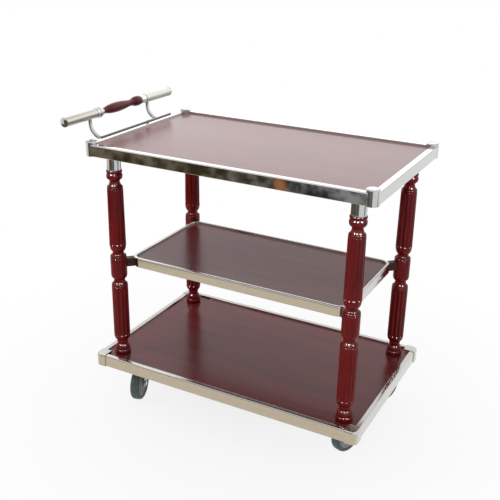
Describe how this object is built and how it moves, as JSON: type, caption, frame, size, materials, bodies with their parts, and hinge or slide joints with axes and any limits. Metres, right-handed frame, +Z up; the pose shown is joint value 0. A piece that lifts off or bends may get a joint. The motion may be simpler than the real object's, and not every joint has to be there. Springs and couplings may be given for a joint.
{
  "type": "serving trolley",
  "caption": "Serving trolley with framed top and base trays, a smaller middle shelf, turned fluted legs, a push bar and swivel castors.",
  "frame": {"origin": "on the floor under the middle of the bounding box", "axes": "+X along the trays, away from the push bar; +Y towards the back long side; +Z up"},
  "size_m": [0.8966, 0.51, 0.8556],
  "materials": {
    "laminate": "gloss",
    "leg_wood": "gloss",
    "block_wood": "satin",
    "rail_steel": "polished",
    "fitting_steel": "polished",
    "castor_steel": "satin",
    "wheel_rubber": "satin"
  },
  "bodies": {
    "frame": {"bar_arms": "rail_steel", "bar_ferrules": "fitting_steel", "bar_grip": "leg_wood", "bar_plate": "rail_steel", "bar_plugs": "fitting_steel", "bar_rod": "rail_steel", "bar_tubes": "fitting_steel", "base_board": "laminate", "base_caps": "rail_steel", "base_rail_back": "rail_steel", "base_rail_front": "rail_steel", "base_rail_left": "rail_steel", "base_rail_right": "rail_steel", "castor_plates": "castor_steel", "leg_back_left": "leg_wood", "leg_back_right": "leg_wood", "leg_bolts": "castor_steel", "leg_front_left": "leg_wood", "leg_front_right": "leg_wood", "leg_sleeves": "fitting_steel", "shelf_band": "rail_steel", "shelf_blocks": "block_wood", "shelf_board": "laminate", "top_board": "laminate", "top_posts": "fitting_steel", "top_rail_back": "rail_steel", "top_rail_front": "rail_steel", "top_rail_left": "rail_steel", "top_rail_right": "rail_steel"},
    "fork_front_left": {"castor_fork_front_left": "castor_steel", "castor_axle_front_left": "castor_steel"},
    "wheel_front_left": {"castor_wheel_front_left": "wheel_rubber"},
    "fork_front_right": {"castor_fork_front_right": "castor_steel", "castor_axle_front_right": "castor_steel"},
    "wheel_front_right": {"castor_wheel_front_right": "wheel_rubber"},
    "fork_back_right": {"castor_fork_back_right": "castor_steel", "castor_axle_back_right": "castor_steel"},
    "wheel_back_right": {"castor_wheel_back_right": "wheel_rubber"},
    "fork_back_left": {"castor_fork_back_left": "castor_steel", "castor_axle_back_left": "castor_steel"},
    "wheel_back_left": {"castor_wheel_back_left": "wheel_rubber"}
  },
  "joints": [
    {"name": "swivel_front_left", "type": "hinge", "parent": "frame", "child": "fork_front_left", "pos_m": [-0.2827, -0.145, 0.1185], "axis": [0, 0, 1], "continuous": true},
    {"name": "roll_front_left", "type": "hinge", "parent": "fork_front_left", "child": "wheel_front_left", "pos_m": [-0.27305, -0.17864, 0.05], "axis": [-0.9613, -0.2756, 0], "continuous": true},
    {"name": "swivel_front_right", "type": "hinge", "parent": "frame", "child": "fork_front_right", "pos_m": [0.3573, -0.145, 0.1185], "axis": [0, 0, 1], "continuous": true},
    {"name": "roll_front_right", "type": "hinge", "parent": "fork_front_right", "child": "wheel_front_right", "pos_m": [0.36869, -0.11191, 0.05], "axis": [0.9455, -0.3256, 0], "continuous": true},
    {"name": "swivel_back_right", "type": "hinge", "parent": "frame", "child": "fork_back_right", "pos_m": [0.3573, 0.145, 0.1185], "axis": [0, 0, 1], "continuous": true},
    {"name": "roll_back_right", "type": "hinge", "parent": "fork_back_right", "child": "wheel_back_right", "pos_m": [0.37373, 0.1759, 0.05], "axis": [0.8829, -0.4695, 0], "continuous": true},
    {"name": "swivel_back_left", "type": "hinge", "parent": "frame", "child": "fork_back_left", "pos_m": [-0.2827, 0.145, 0.1185], "axis": [0, 0, 1], "continuous": true},
    {"name": "roll_back_left", "type": "hinge", "parent": "fork_back_left", "child": "wheel_back_left", "pos_m": [-0.28878, 0.17947, 0.05], "axis": [0.9848, 0.1736, 0], "continuous": true}
  ]
}
